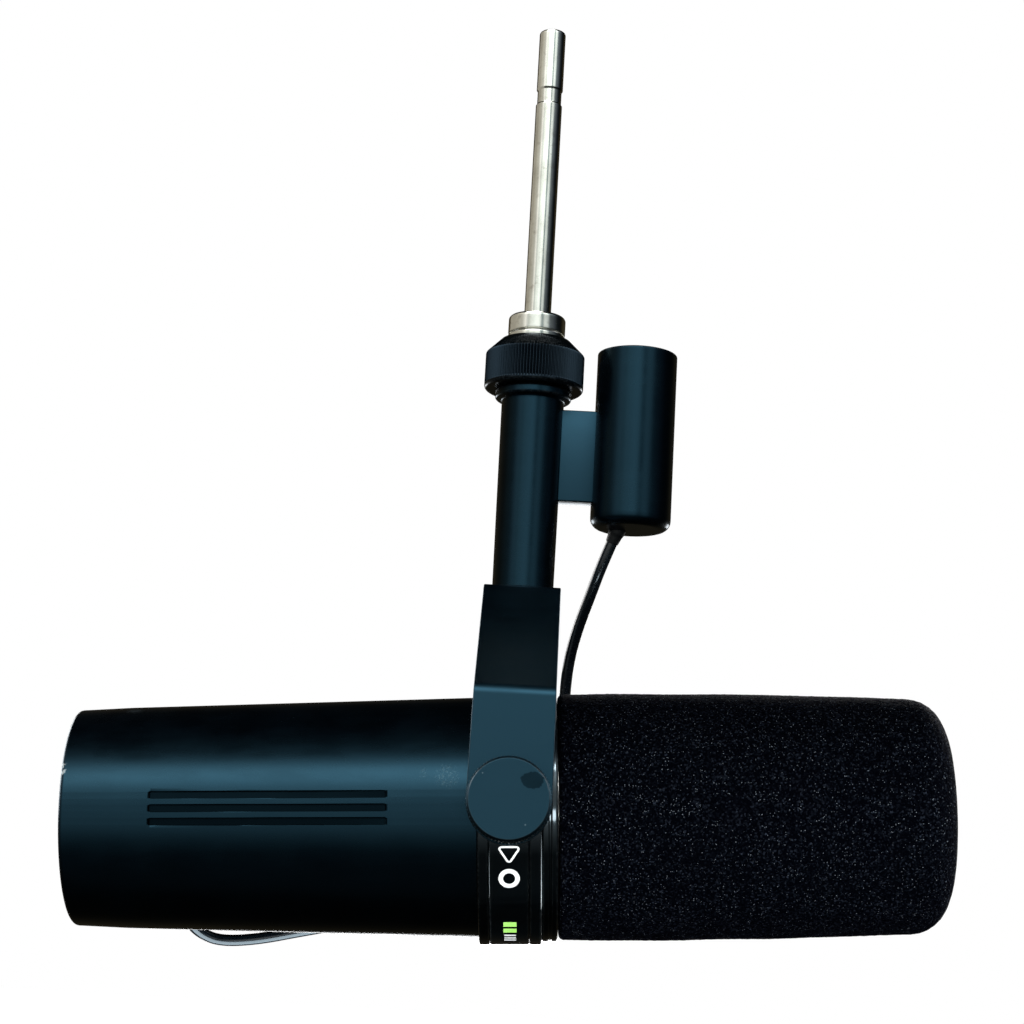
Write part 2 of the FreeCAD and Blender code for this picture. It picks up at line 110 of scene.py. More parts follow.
class Finish:
    """A node material whose colour, roughness and bump all vary over the piece."""

    def __init__(self, name, metal=0.0, gloss=0.5, tint=(1, 1, 1), coat=0.0):
        self.material = bpy.data.materials.new(name)
        self.material.use_nodes = True
        self.nodes = self.material.node_tree.nodes
        self.links = self.material.node_tree.links
        self.shader = self.nodes["Principled BSDF"]
        fixed = {"Metallic": metal, "Specular IOR Level": gloss,
                 "Specular Tint": (*tint, 1), "Coat Weight": coat, "Coat Roughness": 0.06}
        for key, value in fixed.items():
            self.shader.inputs[key].default_value = value
        self.place = self.nodes.new("ShaderNodeTexCoord").outputs["Object"]
        self.normal = None

    def node(self, kind, inputs, output=0, **settings):
        return add_node(self.material.node_tree, kind, inputs, output, **settings)

    def stretched(self, x, y, z):
        return self.node("VectorMath", {0: self.place, 1: (x, y, z)}, operation="MULTIPLY")

    def grain(self, size, detail=2.0, place=None):
        return self.node("TexNoise", {"Vector": place or self.place, "Scale": 1 / (size * MM),
                                      "Detail": detail})

    def cells(self, size, output="Distance"):
        return self.node("TexVoronoi", {"Vector": self.place, "Scale": 1 / (size * MM)}, output)

    def between(self, value, low, high, start=0.3, stop=0.7):
        return self.node("MapRange", {"Value": value, "From Min": start, "From Max": stop,
                                      "To Min": low, "To Max": high})

    def math(self, operation, a, b):
        return self.node("Math", {0: a, 1: b}, operation=operation)

    def mix(self, share, a, b):
        a, b = [value if isinstance(value, bpy.types.NodeSocket) else (*value, 1)
                for value in (a, b)]
        return self.node("Mix", {0: share, 6: a, 7: b}, 2, data_type="RGBA")

    def away(self, point):
        """Distance in millimetres from a point of the piece."""
        metres = self.node("VectorMath", {0: self.place, 1: Vector(point) * MM}, "Value",
                           operation="DISTANCE")
        return self.math("DIVIDE", metres, MM)

    def wear(self):
        return self.node("Attribute", {}, "Fac", attribute_name="wear")

    def bump(self, height, strength, depth):
        inputs = {"Height": height, "Strength": strength, "Distance": depth * MM}
        if self.normal is not None:
            inputs["Normal"] = self.normal
        self.normal = self.node("Bump", inputs)

    def done(self, colour, rough):
        self.links.new(colour, self.shader.inputs["Base Color"])
        self.links.new(rough, self.shader.inputs["Roughness"])
        if self.normal is not None:
            self.links.new(self.normal, self.shader.inputs["Normal"])
        return self.material


TEAL = (0.24, 0.68, 1.0)      # cast of the black paint's sheen


def painted(name, dark, light, rough, grain=0.35, rubbed=0.5, gloss=0.5, coat=0.0, ridge=0.5,
            tint=TEAL):
    """Black paint: faint mottling, a fine orange-peel grain, and rubbed edges."""
    f = Finish(name, gloss=gloss, tint=tint, coat=coat)
    mottle = f.grain(11, 3)
    peel = f.grain(grain, 3)
    speck = f.grain(0.8, 4)
    colour = f.mix(f.between(mottle, 0, 1), dark, light)
    edge = f.math("MULTIPLY", f.wear(), f.between(speck, 0.1 * rubbed, rubbed, 0.45, 0.70))
    colour = f.mix(edge, colour, (0.05, 0.06, 0.065))
    streak = f.grain(2.6, 4, f.stretched(0.25, 1, 1))
    roughness = f.math("ADD", f.between(mottle, rough - 0.03, rough + 0.03),
                       f.between(streak, -0.03, 0.03))
    f.bump(peel, 0.30 * ridge, 0.02)
    f.bump(mottle, 0.15 * ridge, 0.06)
    return f, colour, roughness


def plain_paint(name, *args, **keys):
    f, colour, rough = painted(name, *args, **keys)
    return f.done(colour, rough)


def metal(name, dark, light, rough, drawn=(1, 1, 0.03), tarnish=0.0):
    """Plated or machined metal with fine lines, a few scratches and a light tarnish."""
    f = Finish(name, metal=1.0)
    lines = f.grain(0.12, 3, f.stretched(*drawn))
    cloud = f.grain(5, 4)
    marks = f.grain(0.9, 5, f.stretched(0.3, 1.0, 0.15))
    colour = f.mix(f.between(cloud, 0, 1), dark, light)
    stain = f.between(f.grain(2.0, 5), 0, tarnish, 0.58, 0.75)
    colour = f.mix(stain, colour, (0.20, 0.15, 0.10))
    roughness = f.math("ADD", f.between(lines, rough * 0.7, rough * 1.3),
                       f.between(marks, 0, 0.10, 0.55, 0.75))
    f.bump(lines, 0.12, 0.01)
    f.bump(marks, 0.075, 0.01)
    return f.done(colour, roughness)


def moulded(name, dark, light, rough, grain=0.3, depth=0.02, gloss=0.5, coat=0.0):
    """Moulded plastic, rubber, fibre or board: fine grain and slow colour drift."""
    f = Finish(name, gloss=gloss, coat=coat)
    drift = f.grain(4, 3)
    fine = f.grain(grain, 4)
    colour = f.mix(f.between(drift, 0, 1), dark, light)
    colour = f.mix(f.between(fine, 0, 0.25), colour, light)
    f.bump(fine, 0.4, depth)
    return f.done(colour, f.between(fine, rough - 0.06, rough + 0.06))


def casing_paint():
    """Satin paint: chips on the rear rim, scuffs on top, a burnished patch by the knob with speckled scratches,
    painted lighter as a painted highlight.
    """
    f, colour, rough = painted("casing_paint", (0.0004, 0.0010, 0.0020), (0.0008, 0.002, 0.0035),
                               0.27, grain=0.45, rubbed=0.25, gloss=0.62)
    ragged = f.between(f.grain(0.7, 4), -0.6, 0.6)
    for centre, size in (((-97.6, -21.9, 9.6), 0.35), ((-97.4, -22.6, 8.0), 0.25),
                         ((-97.6, -8.0, 22.6), 0.3), ((-97.5, 17.0, 17.0), 0.3),
                         ((-97.3, 4.0, -24.0), 0.25)):
        reach = f.math("ADD", f.away(centre), ragged)
        chip = f.between(reach, 1.0, 0.0, size, size + 0.25)
        colour = f.mix(chip, colour, (0.55, 0.58, 0.58))
    for centre, size in (((-84.5, -9.0, 23.4), 2.2), ((-60.0, 12.0, 22.5), 1.8)):
        reach = f.math("ADD", f.away(centre), ragged)
        scuff = f.between(reach, 0.3, 0.0, size - 2.0, size)
        colour = f.mix(scuff, colour, (0.04, 0.045, 0.045))
        rough = f.math("ADD", rough, f.between(reach, 0.15, 0.0, size - 1.4, size))
    speckle = f.between(f.grain(0.5, 3), 0, 1, 0.52, 0.60)
    for centre, size in (((-13.5, -25.3, 6.6), 3.0), ((-18.5, -25.1, 7.2), 1.4)):
        reach = f.math("ADD", f.away(centre), ragged)
        # Lightens the colour where the highlight band brightens by the knob: a painted highlight, with speckled
        # scratches on it.
        burnish_and_highlight = f.between(reach, 0.8, 0.0, size - 1.6, size)
        colour = f.mix(f.math("MULTIPLY", burnish_and_highlight, speckle), colour, (0.07, 0.09, 0.09))
        colour = f.mix(f.math("MULTIPLY", burnish_and_highlight, 0.12), colour, (0.07, 0.10, 0.10))
    return f.done(colour, rough)


def knob_paint():
    """Matt paint with a thumbed, darker oval on the face, a pip and a few lint specks."""
    f, colour, rough = painted("knob_paint", (0.0006, 0.0012, 0.002), (0.001, 0.002, 0.003),
                               0.42, grain=0.3, rubbed=0.9, gloss=0.95)
    # The chamfer rims are painted lighter: partly rubbed paint, partly a painted highlight of the lit chamfer
    # ring.
    rim = f.math("MULTIPLY", f.wear(), f.between(f.grain(3.5, 2), 0.15, 0.8, 0.35, 0.6))
    colour = f.mix(rim, colour, (0.025, 0.038, 0.042))
    waver = f.between(f.grain(1.6, 3), -0.35, 0.35)
    wide, tall = 0.88, 1.12
    for side in (-1, 1):
        face = side * KNOB_FACE
        place = f.stretched(wide, 1, tall)
        centre = Vector((4.9 * wide, face, 3.7 * tall)) * MM
        metres = f.node("VectorMath", {0: place, 1: centre}, "Value", operation="DISTANCE")
        reach = f.math("ADD", f.math("DIVIDE", metres, MM), waver)
        thumb = f.between(reach, 0.9, 0.0, 2.0, 2.15)
        colour = f.mix(thumb, colour, (0, 0, 0))
        rough = f.math("ADD", rough, f.between(reach, 0.40, 0.0, 2.0, 2.12))
        for centre, size in (((3.4, face, -5.4), 0.16), ((-5.4, face, 5.3), 0.13)):
            lint = f.between(f.away(centre), 0.9, 0.0, size - 0.05, size + 0.07)
            colour = f.mix(lint, colour, (0.16, 0.20, 0.21))
        pip = f.between(f.away((3.1, face, 3.1)), 1.0, 0.0, 0.2, 0.35)
        colour = f.mix(pip, colour, (0, 0, 0))
    return f.done(colour, rough)


def foam_finish():
    """Open-cell foam: near-black struts, dark pores, and a few cells painted light as glints."""
    f = Finish("foam_cells", gloss=0.01)
    pores = f.cells(0.50)
    tone = f.cells(0.37, "Color")
    drift = f.grain(9, 3)
    shade = f.between(tone, 0.0, 1.0, 0.15, 1.0)
    colour = f.mix(f.math("POWER", shade, 6.0), (0, 0.0001, 0.0009), (0.018, 0.023, 0.034))
    colour = f.mix(f.between(drift, 0.0, 0.20), colour, (0.0002, 0.0004, 0.0010))
    # A few small cells are painted light: a painted glint in place of light caught by the cell walls.
    painted_glint = f.between(f.cells(0.30, "Color"), 0, 1, 0.78, 0.92)
    painted_glint_core = f.between(f.cells(0.30), 1.0, 0.0, 0.14, 0.34)
    colour = f.mix(f.math("MULTIPLY", painted_glint, painted_glint_core), colour, (0.24, 0.27, 0.31))
    f.bump(pores, 0.8, 0.25)
    f.bump(f.grain(1.1, 4), 0.5, 0.35)
    return f.done(colour, f.between(pores, 0.75, 0.95))


def gauze_finish():
    """Woven wire: two crossed sets of wires, with the holes between them painted dark as painted shade."""
    f = Finish("gauze_wires", metal=1.0)
    pitch = 2 * math.pi / (0.55 * MM)
    x, y, z = [f.node("SeparateXYZ", {0: f.place}, index) for index in range(3)]
    turn = f.math("MULTIPLY", f.math("ARCTAN2", z, y), 18.8 * MM)
    wires = [f.math("ABSOLUTE", f.math("SINE", f.math("MULTIPLY", way, pitch / 2), 0), 0)
             for way in (x, turn)]
    weave = f.math("MINIMUM", *wires)
    # The holes between the wires are painted near-black: painted shade of the space seen through them.
    colour = f.mix(f.between(weave, 1, 0, 0.25, 0.6), (0.02, 0.02, 0.02), (0.45, 0.45, 0.44))
    f.bump(weave, 0.9, 0.12)
    return f.done(colour, f.between(f.grain(0.8), 0.3, 0.5))


FINISHES = {
    "rod_nickel": metal("rod_nickel", (0.66, 0.66, 0.59), (0.85, 0.86, 0.78), 0.13, tarnish=0.35),
    "steel_hardware": metal("steel_hardware", (0.45, 0.46, 0.46), (0.62, 0.62, 0.60), 0.3),
    "black_paint": plain_paint("flat_black", (0.0002, 0.0004, 0.0010), (0.0004, 0.0010, 0.0018),
                               0.36, gloss=0.95, ridge=0.3),
    "black_tube": plain_paint("tube_black", (0.0004, 0.001, 0.002), (0.0008, 0.002, 0.003), 0.26,
                              gloss=0.62, rubbed=0.4),
    "black_knurl": plain_paint("knurl_black", (0.0004, 0.0008, 0.0012), (0.001, 0.002, 0.003), 0.24,
                               rubbed=0.4, gloss=0.42, tint=(0.45, 0.72, 1.0)),
    "gloss_black": plain_paint("gloss_black", (0.001, 0.0015, 0.002), (0.0015, 0.003, 0.004),
                               0.11, gloss=0.45, ridge=0.1, coat=0.3, rubbed=0.35,
                               tint=(0.62, 0.86, 1.0)),
    "brass": metal("brass", (0.55, 0.40, 0.16), (0.70, 0.52, 0.24), 0.25),
    "fibre_washer": moulded("fibre_washer", (0.03, 0.028, 0.026), (0.06, 0.055, 0.05), 0.7),
    "insulator": moulded("insulator", (0.008, 0.009, 0.010), (0.016, 0.017, 0.018), 0.5),
    "contact_plating": metal("contact_plating", (0.70, 0.70, 0.66), (0.85, 0.84, 0.80), 0.2),
    "switch_white": moulded("switch_white", (0.62, 0.61, 0.57), (0.74, 0.73, 0.69), 0.42),
    "black_rubber": moulded("black_rubber", (0.004, 0.005, 0.006), (0.009, 0.010, 0.012), 0.55),
    "lead_jacket": moulded("lead_jacket", (0.004, 0.006, 0.009), (0.008, 0.012, 0.016), 0.24,
                           grain=0.5, depth=0.01, gloss=0.6, coat=0.4),
    "circuit_board": moulded("circuit_board", (0.010, 0.07, 0.03), (0.02, 0.10, 0.045), 0.4),
    "board_parts": moulded("board_parts", (0.02, 0.02, 0.02), (0.05, 0.05, 0.05), 0.45),
    "cage_steel": metal("cage_steel", (0.30, 0.30, 0.30), (0.42, 0.42, 0.41), 0.35),
    "gauze": gauze_finish(),
    "air_tube": moulded("air_tube", (0.02, 0.02, 0.022), (0.04, 0.04, 0.042), 0.5),
    "copper": metal("copper", (0.60, 0.26, 0.14), (0.72, 0.36, 0.20), 0.3, drawn=(1, 0.03, 0.03)),
    "magnet": metal("magnet", (0.22, 0.22, 0.23), (0.30, 0.30, 0.31), 0.4),
    "film": moulded("film", (0.50, 0.42, 0.25), (0.62, 0.54, 0.34), 0.25),
    "foam": foam_finish(),
}
CASING_PAINT = casing_paint()
GROOVE_PAINT = plain_paint("groove_black", (0.0001, 0.0002, 0.0004), (0.0002, 0.0005, 0.001), 0.5,
                           gloss=0.15, ridge=0.3)
KNOB_PAINT = knob_paint()
WHITE_INK = moulded("white_ink", (0.72, 0.76, 0.76), (0.86, 0.90, 0.90), 0.45)
GREEN_INK = moulded("green_ink", (0.36, 0.80, 0.14), (0.46, 0.92, 0.22), 0.45)


def dress_frame():
    """Every CAD node that stays in view takes its slot's finish."""
    slots = {part["node"]: part["material_slot"] for part in frame["record"]["subparts"]}
    for node, solid in frame["nodes"].items():
        solid.data.materials.clear()
        solid.data.materials.append(FINISHES[slots[node]])


# ------------------------------------------------------------------ mesh helpers

def arcs(outline):
    """Rounds the corners of a closed outline of (along, radius[, rounding]).

    Gives (along, radius, wear) points. Only outside edges rounded by under 1 mm are worn."""
    flat = [Vector(point[:2]) for point in outline]
    count = len(flat)
    area = sum(flat[i - 1].x * flat[i].y - flat[i].x * flat[i - 1].y for i in range(count))
    points = []
    for i, corner in enumerate(flat):
        if corner.y < 1e-6:
            points.append((corner.x, 0.0, 0.0))
            continue
        back, ahead = flat[i - 1] - corner, flat[(i + 1) % count] - corner
        room = 0.46 * min(back.length, ahead.length)
        outside = (ahead.x * back.y - ahead.y * back.x) * area > 0
        back.normalize()
        ahead.normalize()
        turn = math.pi - back.angle(ahead)
        rounding = outline[i][2] if len(outline[i]) > 2 else EDGE
        reach = min(rounding * math.tan(turn / 2), room)
        if turn < 0.01 or reach < 1e-5:
            points.append((corner.x, corner.y, 0.0))
            continue
        worn = 1.0 if outside and rounding < 1 else 0.0
        centre = corner + (back + ahead).normalized() * (reach / math.sin(turn / 2))
        first, last = corner + back * reach - centre, corner + ahead * reach - centre
        pad = min(WEAR_REACH, room - reach)
        if pad > 0.03:
            points.append((*(corner + back * (reach + pad)), 0.0))
        steps = max(2, math.ceil(turn / math.radians(13)))
        for k in range(steps + 1):
            share = k / steps
            spot = centre + (first * math.sin((1 - share) * turn)
                             + last * math.sin(share * turn)) / math.sin(turn)
            points.append((spot.x, spot.y, worn * math.sin(math.pi * (0.15 + 0.7 * share))))
        if pad > 0.03:
            points.append((*(corner + ahead * (reach + pad)), 0.0))
    return points


def split_runs(points, stations):
    """Adds points where the outline's runs pass the given stations."""
    result = []
    for i, here in enumerate(points):
        result.append(here)
        after = points[(i + 1) % len(points)]
        low, high = sorted((here[0], after[0]))
        between = [s for s in stations if low + 1e-4 < s < high - 1e-4]
        if high - low < 1e-3 or min(here[1], after[1]) < 1e-6:
            continue
        for station in sorted(between, reverse=after[0] < here[0]):
            share = (station - here[0]) / (after[0] - here[0])
            result.append(tuple(a + (b - a) * share for a, b in zip(here, after)))
    return result


PLACES = {
    "x": lambda along, radius, angle: (along, -radius * math.cos(angle), radius * math.sin(angle)),
    "y": lambda along, radius, angle: (radius * math.cos(angle), along, radius * math.sin(angle)),
    "z": lambda along, radius, angle: (radius * math.cos(angle), radius * math.sin(angle), along),
}


def lathe(outline, axis, around=144, form=None, stations=(), angles=None):
    """Turns a closed outline about an axis. form(along, radius, angle) gives a new radius."""
    points = split_runs(arcs(outline), stations)
    angles = angles or [2 * math.pi * k / around for k in range(around)]
    count = len(angles)
    verts, faces, wear, rings = [], [], [], []
    for along, radius, worn in points:
        start = len(verts)
        if radius < 1e-6:
            verts.append(PLACES[axis](along, 0, 0))
            wear.append(worn)
            rings.append([start] * count)
            continue
        for angle in angles:
            reach = form(along, radius, angle) if form else radius
            verts.append(PLACES[axis](along, reach, angle))
            wear.append(worn)
        rings.append(list(range(start, start + count)))
    for i, ring in enumerate(rings):
        other = rings[(i + 1) % len(rings)]
        if ring[0] == ring[1] and other[0] == other[1]:
            continue
        for k in range(count):
            after = (k + 1) % count
            face = [ring[k], ring[after], other[after], other[k]]
            faces.append(list(dict.fromkeys(face)))
    return verts, faces, wear


def slab(low, high, edge):
    """A box with rounded edges."""
    bm = bmesh.new()
    bmesh.ops.create_cube(bm, size=1.0)
    low, high = Vector(low), Vector(high)
    for vert in bm.verts:
        vert.co = (low + high) / 2 + Vector(a * b for a, b in zip(vert.co, high - low))
    bmesh.ops.bevel(bm, geom=bm.edges[:], offset=edge, segments=3, profile=0.5, affect="EDGES")
    bm.verts.ensure_lookup_table()
    verts = [tuple(vert.co) for vert in bm.verts]
    faces = [[vert.index for vert in face.verts] for face in bm.faces]
    bm.free()
    return verts, faces, [0.04] * len(verts)


def joined(*shapes):
    """Several shapes as one."""
    verts, faces, wear = [], [], []
    for more_verts, more_faces, more_wear in shapes:
        faces += [[index + len(verts) for index in face] for face in more_faces]
        verts += more_verts
        wear += more_wear
    return verts, faces, wear


def placed(shape, matrix):
    verts, faces, wear = shape
    return [tuple(matrix @ Vector(vert)) for vert in verts], faces, wear


HALF_TURN = Matrix.Rotation(math.pi, 4, "Z")


def make_mesh(name, shape, smooth):
    verts, faces, wear = shape
    mesh = bpy.data.meshes.new(name)
    mesh.from_pydata([Vector(vert) * MM for vert in verts], [], faces)
    bm = bmesh.new()
    bm.from_mesh(mesh)
    bmesh.ops.recalc_face_normals(bm, faces=bm.faces)
    bm.to_mesh(mesh)
    bm.free()
    mesh.attributes.new("wear", "FLOAT", "POINT").data.foreach_set("value", wear)
    mesh.shade_smooth()
    mesh.set_sharp_from_angle(angle=math.radians(smooth))
    return mesh


def piece(name, shape, where, body, slot, nodes=(), finish=None, smooth=32):
    """A finished piece in its place, riding on its body in place of its CAD nodes."""
    thing = bpy.data.objects.new(name, make_mesh(name, shape, smooth))
    bpy.context.scene.collection.objects.link(thing)
    thing.matrix_world = where
    thing.data.materials.append(finish or FINISHES[slot])
    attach(thing, body)
    if nodes:
        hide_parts(*nodes)
    return thing


# ------------------------------------------------------------------ boom rod and nut

ROD_R = 3.175                 # quarter-inch rod


def make_rod():
    rod = lathe([(108.6, 0), (108.6, 3.0, 0), (118.2, 3.0, 0.02), (118.2, ROD_R, 0.05),
                 (171.5, ROD_R, 0.2), (171.9, 2.9, 0.15), (175.2, 2.9, 0.15),
                 (175.6, ROD_R, 0.2), (190.6, ROD_R, 0.7), (190.6, 0)], "z", 96)
    piece("polished_rod", rod, HANGER, "boom_rod", "rod_nickel", ["boom_rod"])
    collar = lathe([(113.7, 3.05), (113.7, 6.75, 0.3), (118.0, 6.75, 0.9), (118.0, 3.05)], "z")
    piece("polished_collar", collar, HANGER, "boom_rod", "rod_nickel", ["rod_collar"])
    washer = lathe([(113.35, 4.75), (113.35, 6.2), (113.7, 6.2), (113.7, 4.75)], "z")
    piece("split_washer", washer, HANGER, "boom_rod", "steel_hardware", ["lock_washer"])
    adapter = lathe([(106.4, 4.75), (106.4, 7.8, 0.3), (111.8, 7.8), (111.8, 6.8),
                     (113.35, 6.8, 0.3), (113.35, 4.75)], "z")
    piece("polished_adapter", adapter, HANGER, "boom_rod", "rod_nickel", ["thread_adapter"])


def make_nut():
    ridges, depth, low, high = 100, 0.38, 100.8, 111.4

    def ribbed(along, radius, angle):
        if not low < along < high or radius < 8.7:
            return radius
        wave = (0.5 + 0.5 * math.cos(ridges * angle)) ** 1.3
        fade = min(1.0, (along - low) / 0.25, (high - along) / 2.0)
        return radius - depth * (1 - wave) * fade

    nut = lathe([(99.9, 7.25), (99.9, 11.7, 0.9), (108.5, 11.7, 0.5), (112.0, 8.2, 0.3),
                 (112.0, 7.9), (106.0, 7.9), (106.0, 9.3), (102.4, 9.3), (102.4, 7.25)],
                "z", ridges * 8, form=ribbed,
                stations=[100.81, 101.05, 102, 104, 106, 108, 109.5, 110.5, 111.2])
    piece("ribbed_nut", nut, HANGER, "captive_nut", "black_knurl", ["captive_nut"], smooth=50)


# ------------------------------------------------------------------ yoke

BARREL_OFFSET = 24.2          # from the stem's axis to the connector barrel's


def make_stem():
    stem = lathe([(51.75, 2.6), (51.75, 7.1, 0.4), (97.2, 7.35, 0.5), (97.7, 9.0, 0.7),
                  (99.6, 9.0, 0.4), (99.6, 6.95), (105.0, 6.95, 0.3), (105.0, 4.6),
                  (68.0, 4.6), (68.0, 2.6)], "z")
    piece("painted_stem", stem, HANGER, "yoke", "black_tube", ["stem_tube"])
    plate = slab((6.9, -2.2, 73.4), (15.3, 2.2, 95.3), 0.3)
    piece("joining_plate", plate, HANGER, "yoke", "black_paint", ["bracket_plate"])
    barrel = lathe([(67.7, 0), (67.7, 9.4, 2.4), (109.9, 9.4, 0.35), (109.9, 8.0, 0.25),
                    (69.4, 8.0), (69.4, 0)], "z")
    beside = HANGER @ Matrix.Translation((BARREL_OFFSET * MM, 0, 0))
    piece("painted_barrel", barrel, beside, "yoke", "black_tube", ["connector_barrel"])


GROMMET_ROOT = Vector((22.0, 1.9, 69.6))
GROMMET_LEAN = Vector((-0.40, 0.30, -1.0)).normalized()
GROMMET_LENGTH = 5.0


def make_grommet():
    collar = lathe([(0, 0), (0, 1.95, 0.2), (2.4, 1.95, 0.25), (3.2, 1.72, 0.2),
                    (GROMMET_LENGTH, 1.5, 0.12), (GROMMET_LENGTH, 0)], "z", 48)
    turn = Vector((0, 0, 1)).rotation_difference(GROMMET_LEAN).to_matrix().to_4x4()
    where = HANGER @ Matrix.Translation(GROMMET_ROOT * MM) @ turn
    return piece("barrel_grommet_boot", collar, where, "yoke", "black_rubber",
                 ["barrel_grommet"])


STRAP_HALF_WIDTH = 8.8
STRAP_BEND = 24.0             # height where the sloping run meets the leg
LEG_END_R = 9.1


def strap_line(inset):
    """(y, z) points down one side of the strap, from its middle to its foot."""
    top, side, bend, half_top = 51.7, 41.0, STRAP_BEND, 9.3
    slope = math.atan2(top - bend, side - half_top)
    corners = [Vector((0, top - inset)),
               Vector((half_top - inset * math.tan(slope / 2), top - inset)),
               Vector((side - inset, bend - inset * math.tan((math.pi / 2 - slope) / 2))),
               Vector((side - inset, 0))]
    line = [corners[0], corners[0].lerp(corners[1], 0.5)]
    for before, corner, after in zip(corners, corners[1:], corners[2:]):
        back, ahead = (before - corner).normalized(), (after - corner).normalized()
        turn = math.pi - back.angle(ahead)
        radius = 3.2 - inset
        reach = radius * math.tan(turn / 2)
        centre = corner + (back + ahead).normalized() * (radius / math.cos(turn / 2))
        first, last = corner + back * reach - centre, corner + ahead * reach - centre
        for k in range(9):
            share = k / 8
            line.append(centre + (first * math.sin((1 - share) * turn)
                                  + last * math.sin(share * turn)) / math.sin(turn))
        if after is not corners[3]:
            end = after + (corner - after).normalized() * 3
            line += [line[-1].lerp(end, share) for share in (0.3, 0.6)]
    start = line[-1]
    line += [start.lerp(corners[3], share) for share in (0.25, 0.5, 0.75, 1.0)]
    line += [Vector((side - inset, -LEG_END_R * math.sin(math.radians(angle))))
             for angle in (12, 24, 36, 47, 57, 66, 73, 79, 84, 87.5)]
    return line


def make_strap():
    thick, edge = 2.0, 0.28
    outer, inner = strap_line(0.0), strap_line(thick)
    mirrored = [[Vector((-p.x, p.y)) for p in reversed(line[1:])] for line in (outer, inner)]
    outer, inner = mirrored[0] + outer, mirrored[1] + inner
    verts, faces, wear, rings = [], [], [], []
    for out, into in zip(outer, inner):
        height = out.y
        if height < 0:
            half = math.sqrt(LEG_END_R ** 2 - height ** 2)
        else:
            share = min(1.0, height / STRAP_BEND)
            half = LEG_END_R + (STRAP_HALF_WIDTH - LEG_END_R) * share
        corner = min(edge, half * 0.4)
        ring = []
        for x_side, t_side in ((1, 0), (1, 1), (-1, 1), (-1, 0)):
            for k in range(4):
                angle = math.radians(90 * k / 3)
                if (x_side > 0) == (t_side == 0):
                    angle = math.pi / 2 - angle
                x = x_side * (half - corner + corner * math.cos(angle))
                deep = corner * (1 - math.sin(angle)) / thick
                share = deep if t_side == 0 else 1 - deep
                spot = out.lerp(into, share)
                ring.append(len(verts))
                verts.append((x, spot.x, spot.y))
                wear.append(1.0 if k in (1, 2) else 0.0)
        rings.append(ring)
    for here, after in zip(rings, rings[1:]):
        for k in range(len(here)):
            n = (k + 1) % len(here)
            faces.append([here[k], here[n], after[n], after[k]])
    faces += [rings[0][:], rings[-1][::-1]]
    strap = piece("bent_strap", (verts, faces, wear), HANGER, "yoke", "black_paint",
                  ["yoke_strap"])
    flatten = strap.modifiers.new("even_normals", "WEIGHTED_NORMAL")
    flatten.keep_sharp = True
    screw = lathe([(47.2, 0), (48.8, 0), (48.8, 2.0, 0.05), (47.2, 2.2, 0.1), (47.2, 5.2, 1.0),
                   (49.68, 5.2), (49.68, 2.5), (66.0, 2.5, 0.5), (66.0, 0)], "z", 72)
    piece("stem_bolt", screw, HANGER, "yoke", "steel_hardware", ["stem_screw"])


# ------------------------------------------------------------------ tilt hardware

def make_tilt_hardware():
    teeth = 72

    def toothed(along, radius, angle):
        if radius < 8.9 or along < 42.2:
            return radius
        return radius - 0.30 * (0.5 - 0.5 * math.cos(teeth * angle)) ** 1.2

    knob = lathe([(41.9, 4.35), (41.9, 8.75, 0.2), (42.4, 9.0, 0.1), (47.25, 9.0, 0.12),
                  (47.6, 8.62, 0.08), (KNOB_FACE, 8.42, 0.16), (KNOB_FACE, 6.0, 0),
                  (KNOB_FACE, 0),
                  (47.0, 0), (47.0, 4.35)], "y", teeth * 8, form=toothed,
                 stations=[43.0, 44.5, 46.0])
    sleeve = lathe([(26.0, 3.0), (26.0, 6.2, 0.4), (38.2, 6.2, 0.4), (38.2, 3.0)], "y", 96)
    inner = lathe([(38.25, 3.0), (38.25, 7.6, 0.12), (38.9, 7.6, 0.12), (38.9, 3.0)], "y", 96)
    outer = lathe([(41.1, 3.0), (41.1, 7.2, 0.12), (41.75, 7.2, 0.12), (41.75, 3.0)], "y", 96)
    for side, turn in (("near", HALF_TURN), ("far", Matrix.Identity(4))):
        piece(side + "_thumb_knob", placed(knob, turn), MICROPHONE, side + "_knob",
              "black_paint", [side + "_knob"], KNOB_PAINT, smooth=40)
        piece(side + "_sleeve", placed(sleeve, turn), MICROPHONE, "microphone", "black_paint",
              [side + "_pivot_sleeve"])
        piece(side + "_friction_washer", placed(inner, turn), MICROPHONE, "microphone",
              "fibre_washer", [side + "_inner_washer"])
        piece(side + "_steel_washer", placed(outer, turn), MICROPHONE, "microphone",
              "steel_hardware", [side + "_outer_washer"])


# ------------------------------------------------------------------ casing

GROOVE_HEIGHTS = (-2.9, 0.0, 2.9)
GROOVE_FRONT, GROOVE_BACK = -27.1, -77.7    # where the grooves' round ends are centred
GROOVE_HALF = 0.85
GROOVE_DEPTH = 0.5
GROOVE_SOFT = 0.12            # width of the groove's sloping wall


def groove_depth(along, height):
    reach = max(0.0, along - GROOVE_FRONT, GROOVE_BACK - along)
    nearest = min(abs(height - middle) for middle in GROOVE_HEIGHTS)
    inside = GROOVE_HALF - math.hypot(reach, nearest)
    share = min(1.0, max(0.0, inside / GROOVE_SOFT))
    return GROOVE_DEPTH * share * share * (3 - 2 * share)


